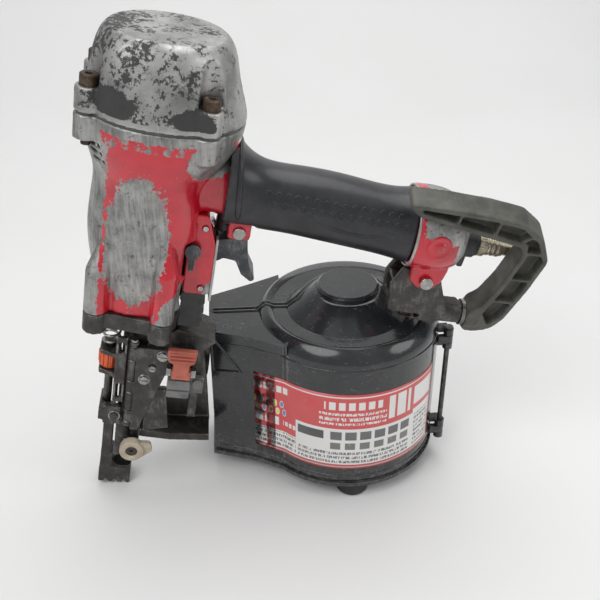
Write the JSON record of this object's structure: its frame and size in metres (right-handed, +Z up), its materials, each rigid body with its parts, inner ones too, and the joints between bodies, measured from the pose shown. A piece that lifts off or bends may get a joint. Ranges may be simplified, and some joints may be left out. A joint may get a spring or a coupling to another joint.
{
  "type": "coil roofing nailer",
  "caption": "Pneumatic coil nailer with a tall cylinder head, rubber grip, swinging hook, round coil magazine and a hinged nose door.",
  "frame": {"origin": "middle of the footprint, on the surface the tool stands on", "axes": "+Z up, -X towards the nose, +X towards the air plug, -Y the side with the nose door and label"},
  "size_m": [0.2628, 0.1224, 0.2899],
  "materials": {
    "cap_alloy": "worn cast",
    "red_enamel": "gloss, chipped",
    "black_steel": "blackened",
    "bright_steel": "satin",
    "grip_rubber": "moulded",
    "bumper_rubber": "soft",
    "smoke_plastic": "gloss",
    "black_nylon": "worn",
    "orange_plastic": "moulded",
    "salmon_plastic": "moulded",
    "cream_plastic": "moulded",
    "magnet": "matt",
    "gunmetal": "satin",
    "printed_label": "printed",
    "spring_steel": "oiled",
    "blued_bolt": "browned"
  },
  "bodies": {
    "tool": {"main_housing": "red_enamel", "cylinder_cap": "cap_alloy", "cap_screws": "blued_bolt", "cap_gasket": "bumper_rubber", "cylinder_sleeve": "bright_steel", "bumper": "bumper_rubber", "nose_screws": "blued_bolt", "grip_sleeve": "grip_rubber", "end_cap": "red_enamel", "end_cap_screws": "blued_bolt", "trigger_pin": "bright_steel", "trigger_valve": "black_nylon", "trigger_valve_block": "red_enamel", "valve_base": "black_nylon", "strip_plate": "bright_steel", "block_pins": "bright_steel", "nose_body": "black_steel", "feed_guide": "black_steel", "door_pin": "bright_steel", "latch_block": "gunmetal", "magnet_holder": "cream_plastic", "nose_magnet": "magnet", "feed_cylinder": "black_steel", "magazine_body": "smoke_plastic", "magazine_hinge_pin": "bright_steel", "magazine_feet": "bumper_rubber", "nail_spindle": "black_nylon", "magazine_stay": "black_steel", "hook_pivot_sleeve": "gunmetal", "hook_bolt": "bright_steel", "hook_nut": "bright_steel", "hook_springs": "spring_steel", "hook_bracket": "gunmetal", "bracket_pin": "bright_steel", "head_valve_spring": "spring_steel", "stem_spring": "spring_steel", "feed_piston_spring": "spring_steel", "contact_spring": "spring_steel"},
    "head_valve": {"head_valve": "black_nylon"},
    "piston": {"piston": "cap_alloy", "driver_blade": "bright_steel"},
    "trigger": {"trigger": "gunmetal"},
    "valve_stem": {"valve_stem": "bright_steel"},
    "selector": {"mode_selector": "gunmetal"},
    "contact_arm": {"contact_arm": "black_steel"},
    "depth_dial": {"depth_dial": "orange_plastic"},
    "contact_tip": {"contact_tip": "black_steel", "tip_clamp": "black_steel"},
    "nose_door": {"nose_door": "black_steel", "door_screws": "bright_steel", "latch_pin": "bright_steel"},
    "latch": {"latch_lever": "salmon_plastic"},
    "feed_piston": {"feed_piston": "bright_steel"},
    "feed_pawl": {"feed_pawl": "bright_steel"},
    "magazine_cover": {"magazine_cover": "smoke_plastic", "cover_label": "printed_label"},
    "nail_platform": {"nail_platform": "black_nylon"},
    "hook": {"hook_arm": "black_nylon"},
    "air_plug": {"plug_collar": "black_nylon", "air_plug": "bright_steel"}
  },
  "joints": [
    {"name": "head_valve_slide", "type": "slide", "parent": "tool", "child": "head_valve", "axis": [0.1736, 0, 0.9848], "range_m": [-0.005, 0], "stiffness_N_per_m": 4000, "springref_m": 0.004, "deforming": ["head_valve_spring"]},
    {"name": "piston_slide", "type": "slide", "parent": "tool", "child": "piston", "axis": [0.1736, 0, 0.9848], "range_m": [-0.092, 0]},
    {"name": "trigger_pivot", "type": "hinge", "parent": "tool", "child": "trigger", "pos_m": [-0.03575, -0.02325, 0.17887], "axis": [0, 1, 0], "range_deg": [0, 13], "stiffness_Nm_per_rad": 0.6, "springref_deg": -17.19},
    {"name": "valve_stem_slide", "type": "slide", "parent": "tool", "child": "valve_stem", "axis": [0.1736, 0, 0.9848], "range_m": [0, 0.0026], "deforming": ["stem_spring"]},
    {"name": "selector_turn", "type": "hinge", "parent": "tool", "child": "selector", "pos_m": [-0.06071, -0.03925, 0.17149], "axis": [0, 1, 0], "range_deg": [-90, 0]},
    {"name": "contact_arm_slide", "type": "slide", "parent": "tool", "child": "contact_arm", "axis": [0.1736, 0, 0.9848], "range_m": [0, 0.009], "stiffness_N_per_m": 2500, "springref_m": -0.012, "deforming": ["contact_spring"]},
    {"name": "depth_dial_turn", "type": "hinge", "parent": "contact_arm", "child": "depth_dial", "pos_m": [-0.11371, -0.02625, 0.09666], "axis": [0.1736, 0, 0.9848], "range_deg": [-720, 720]},
    {"name": "contact_tip_slide", "type": "slide", "parent": "contact_arm", "child": "contact_tip", "axis": [0.1736, 0, 0.9848], "range_m": [-0.0026, 0.0026]},
    {"name": "nose_door_swing", "type": "hinge", "parent": "tool", "child": "nose_door", "pos_m": [-0.10294, -0.03665, 0.08055], "axis": [0.1736, 0, 0.9848], "range_deg": [-95, 0]},
    {"name": "latch_lever_tilt", "type": "hinge", "parent": "nose_door", "child": "latch", "pos_m": [-0.07253, -0.04125, 0.09295], "axis": [0.9848, 0, -0.1736], "range_deg": [0, 30], "stiffness_Nm_per_rad": 0.05, "springref_deg": -28.65},
    {"name": "feed_piston_slide", "type": "slide", "parent": "tool", "child": "feed_piston", "axis": [0.9848, 0, -0.1736], "range_m": [0, 0.012], "stiffness_N_per_m": 400, "springref_m": -0.008, "deforming": ["feed_piston_spring"]},
    {"name": "feed_pawl_swing", "type": "hinge", "parent": "feed_piston", "child": "feed_pawl", "pos_m": [-0.09462, -0.00215, 0.07705], "axis": [0.1736, 0, 0.9848], "range_deg": [0, 18], "stiffness_Nm_per_rad": 0.01, "springref_deg": -28.65},
    {"name": "magazine_cover_swing", "type": "hinge", "parent": "tool", "child": "magazine_cover", "pos_m": [0.08944, -0.01525, 0.06], "axis": [0, 0, 1], "range_deg": [0, 80]},
    {"name": "nail_platform_slide", "type": "slide", "parent": "tool", "child": "nail_platform", "axis": [0, 0, 1], "range_m": [0, 0.05]},
    {"name": "hook_swing", "type": "hinge", "parent": "tool", "child": "hook", "pos_m": [0.09755, -0.02325, 0.1137], "axis": [-0.9848, 0, 0.1736], "range_deg": [-110, 0]},
    {"name": "air_plug_swivel", "type": "hinge", "parent": "tool", "child": "air_plug", "pos_m": [0.09289, -0.02325, 0.16155], "axis": [0.9744, 0, -0.225], "continuous": true}
  ],
  "couplings": [
    {"joint": "valve_stem_slide", "follows": "trigger_pivot", "m_per_rad": 0.011},
    {"joint": "contact_tip_slide", "follows": "depth_dial_turn", "m_per_rad": 0.00019894}
  ]
}
